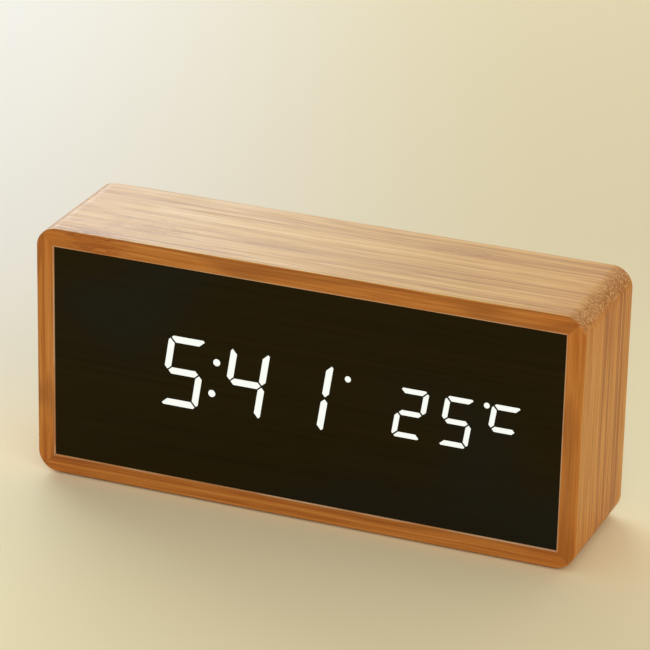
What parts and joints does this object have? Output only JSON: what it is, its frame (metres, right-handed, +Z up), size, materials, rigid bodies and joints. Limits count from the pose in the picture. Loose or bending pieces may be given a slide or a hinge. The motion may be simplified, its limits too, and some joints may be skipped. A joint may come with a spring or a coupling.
{
  "type": "digital desk clock",
  "caption": "Bamboo-cased digital alarm clock with a glowing seven-segment time and temperature display and rear controls.",
  "frame": {"origin": "middle of the base, at the underside of the foot pads", "axes": "+X to the right seen from the front, front face towards -Y, +Z up"},
  "size_m": [0.15, 0.038, 0.0695],
  "materials": {
    "bamboo": "oiled bamboo, satin, grain along each board",
    "panel_black": "near-black tinted panel, faint brown, low sheen",
    "led_light": "glowing white bar",
    "film_white": "thin white diffuser film",
    "reflector_white": "moulded white plastic",
    "pcb_green": "green solder mask",
    "led_chip": "yellow phosphor resin",
    "chip_black": "moulded epoxy with tinned legs",
    "can_metal": "drawn can, satin",
    "capacitor_sleeve": "shrunk sleeve",
    "screw_steel": "zinc plated",
    "rail_black": "moulded plastic",
    "cover_black": "fine spark-eroded texture",
    "door_black": "fine spark-eroded texture",
    "cell_sleeve": "printed sleeve, plain gold and black",
    "contact_nickel": "nickel plated spring steel",
    "lead_red": "insulated wire",
    "lead_black": "insulated wire",
    "switch_body": "moulded plastic",
    "plunger_ivory": "moulded plastic",
    "button_grey": "smooth plastic",
    "slider_white": "moulded plastic",
    "tongue_black": "moulded plastic",
    "buzzer_black": "moulded plastic",
    "bead_black": "epoxy bead",
    "connector_ivory": "moulded nylon",
    "ribbon_grey": "flat ribbon",
    "foot_rubber": "thin adhesive pad"
  },
  "bodies": {
    "case": {"case_top": "bamboo", "case_bottom": "bamboo", "case_left": "bamboo", "case_right": "bamboo", "feet": "foot_rubber", "front_panel": "panel_black", "time_segments": "led_light", "colon_dots": "led_light", "alarm_dot": "led_light", "temperature_segments": "led_light", "unit_segments": "led_light", "diffuser_film": "film_white", "reflector_block": "reflector_white", "display_board": "pcb_green", "led_chips": "led_chip", "controller_chip": "chip_black", "driver_chip": "chip_black", "crystal": "can_metal", "capacitors": "capacitor_sleeve", "resistors": "chip_black", "display_board_screws": "screw_steel", "left_rail": "rail_black", "right_rail": "rail_black", "rear_cover": "cover_black", "rear_cover_screws": "screw_steel", "battery_cells": "cell_sleeve", "positive_terminal": "contact_nickel", "negative_terminal": "contact_nickel", "right_link_contact": "contact_nickel", "left_link_contact": "contact_nickel", "battery_lead_red": "lead_red", "battery_lead_black": "lead_black", "button_board": "pcb_green", "button_board_screws": "screw_steel", "tact_switches": "switch_body", "slide_switch": "can_metal", "power_socket": "can_metal", "socket_tongue": "tongue_black", "buzzer": "buzzer_black", "microphone": "can_metal", "thermistor": "bead_black", "ribbon_sockets": "connector_ivory", "ribbon_cable": "ribbon_grey"},
    "set_button": {"set_button": "button_grey", "set_plunger": "plunger_ivory"},
    "up_button": {"up_button": "button_grey", "up_plunger": "plunger_ivory"},
    "down_button": {"down_button": "button_grey", "down_plunger": "plunger_ivory"},
    "sound_slider": {"switch_slider": "slider_white"},
    "battery_door": {"battery_door": "door_black"}
  },
  "joints": [
    {"name": "set_press", "type": "slide", "parent": "case", "child": "set_button", "axis": [0, -1, 0], "range_m": [0, 0.0004], "stiffness_N_per_m": 1500},
    {"name": "up_press", "type": "slide", "parent": "case", "child": "up_button", "axis": [0, -1, 0], "range_m": [0, 0.0004], "stiffness_N_per_m": 1500},
    {"name": "down_press", "type": "slide", "parent": "case", "child": "down_button", "axis": [0, -1, 0], "range_m": [0, 0.0004], "stiffness_N_per_m": 1500},
    {"name": "sound_slide", "type": "slide", "parent": "case", "child": "sound_slider", "axis": [1, 0, 0], "range_m": [0, 0.002]},
    {"name": "door_hinge", "type": "hinge", "parent": "case", "child": "battery_door", "pos_m": [-0.062, 0.01625, 0.035], "axis": [0, 0, 1], "range_deg": [0, 90]}
  ]
}
